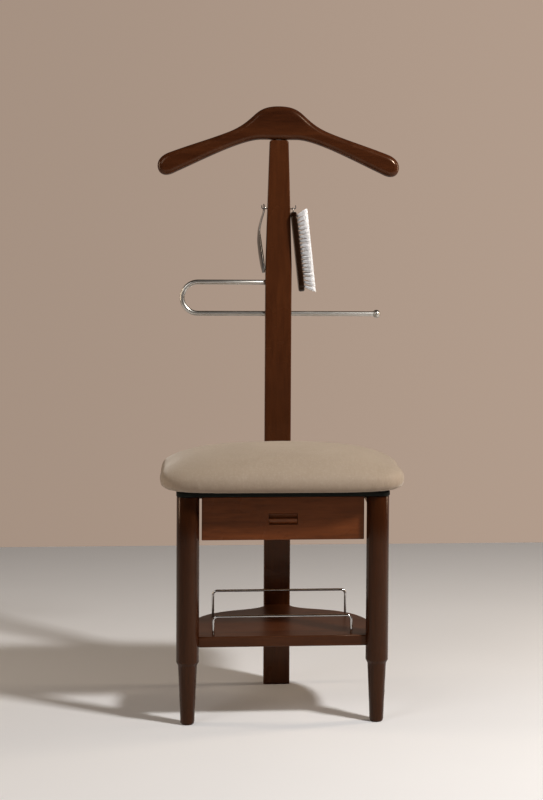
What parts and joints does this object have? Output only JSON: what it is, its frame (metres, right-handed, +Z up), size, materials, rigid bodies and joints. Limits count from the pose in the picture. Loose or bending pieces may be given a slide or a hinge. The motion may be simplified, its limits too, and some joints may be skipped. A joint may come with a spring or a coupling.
{
  "type": "valet stand",
  "caption": "Wooden valet stand: back post on turned front legs with coat hanger, trouser bar, padded seat over a drawer, shoe shelf with wire rails, hanging clothes brush and shoehorn.",
  "frame": {"origin": "bottom centre of the bounding box of the whole stand, on the floor", "axes": "+Z up along the back post; the seat and drawer face -Y; +X is to the right of a person facing the drawer"},
  "size_m": [0.458, 0.357, 1.105],
  "materials": {
    "walnut": "satin lacquer over dark red-brown stain",
    "raw_wood": "plain sanded wood",
    "black_board": "black painted board",
    "suede": "short-pile suede-like cloth",
    "satin_nickel": "satin nickel plate",
    "chrome": "bright chrome plate",
    "zinc_steel": "zinc plate",
    "bristle": "white nylon bristle"
  },
  "bodies": {
    "frame": {"back_post": "walnut", "bar_ball_end": "satin_nickel", "cushion_panel": "raw_wood", "cushion_screw_1": "zinc_steel", "cushion_screw_2": "zinc_steel", "cushion_screw_3": "zinc_steel", "cushion_screw_4": "zinc_steel", "front_shoe_rail": "chrome", "hanger": "walnut", "left_apron_screw": "zinc_steel", "left_hanger_dowel": "raw_wood", "left_hook": "satin_nickel", "left_leg": "walnut", "left_leg_bolt": "zinc_steel", "left_runner": "walnut", "left_shelf_dowel": "raw_wood", "post_bolt_1": "zinc_steel", "post_bolt_2": "zinc_steel", "rear_apron": "walnut", "rear_shoe_rail": "chrome", "right_apron_screw": "zinc_steel", "right_hanger_dowel": "raw_wood", "right_hook": "satin_nickel", "right_leg": "walnut", "right_leg_bolt": "zinc_steel", "right_runner": "walnut", "right_shelf_dowel": "raw_wood", "runner_screw_1": "zinc_steel", "runner_screw_2": "zinc_steel", "runner_screw_3": "zinc_steel", "runner_screw_4": "zinc_steel", "seat_board": "black_board", "seat_cushion": "suede", "shelf_bolt": "zinc_steel", "shoe_shelf": "walnut", "trouser_bar": "satin_nickel"},
    "drawer": {"drawer_back": "raw_wood", "drawer_bottom": "raw_wood", "drawer_dowel_1": "raw_wood", "drawer_dowel_2": "raw_wood", "drawer_dowel_3": "raw_wood", "drawer_dowel_4": "raw_wood", "drawer_front": "walnut", "drawer_left_side": "raw_wood", "drawer_pull": "walnut", "drawer_pull_screw": "zinc_steel", "drawer_right_side": "raw_wood"},
    "brush": {"brush_back": "walnut", "brush_bristles": "bristle", "brush_ring": "satin_nickel"},
    "shoehorn": {"shoehorn": "chrome"}
  },
  "joints": [
    {"name": "drawer_slide", "type": "slide", "parent": "frame", "child": "drawer", "axis": [0, -1, 0], "range_m": [0, 0.18]},
    {"name": "brush_swing", "type": "hinge", "parent": "frame", "child": "brush", "pos_m": [0.0274, 0.1575, 0.911], "axis": [1, 0, 0], "range_deg": [-20, 20]},
    {"name": "shoehorn_swing", "type": "hinge", "parent": "frame", "child": "shoehorn", "pos_m": [-0.028, 0.1575, 0.911], "axis": [1, 0, 0], "range_deg": [-20, 20]}
  ]
}
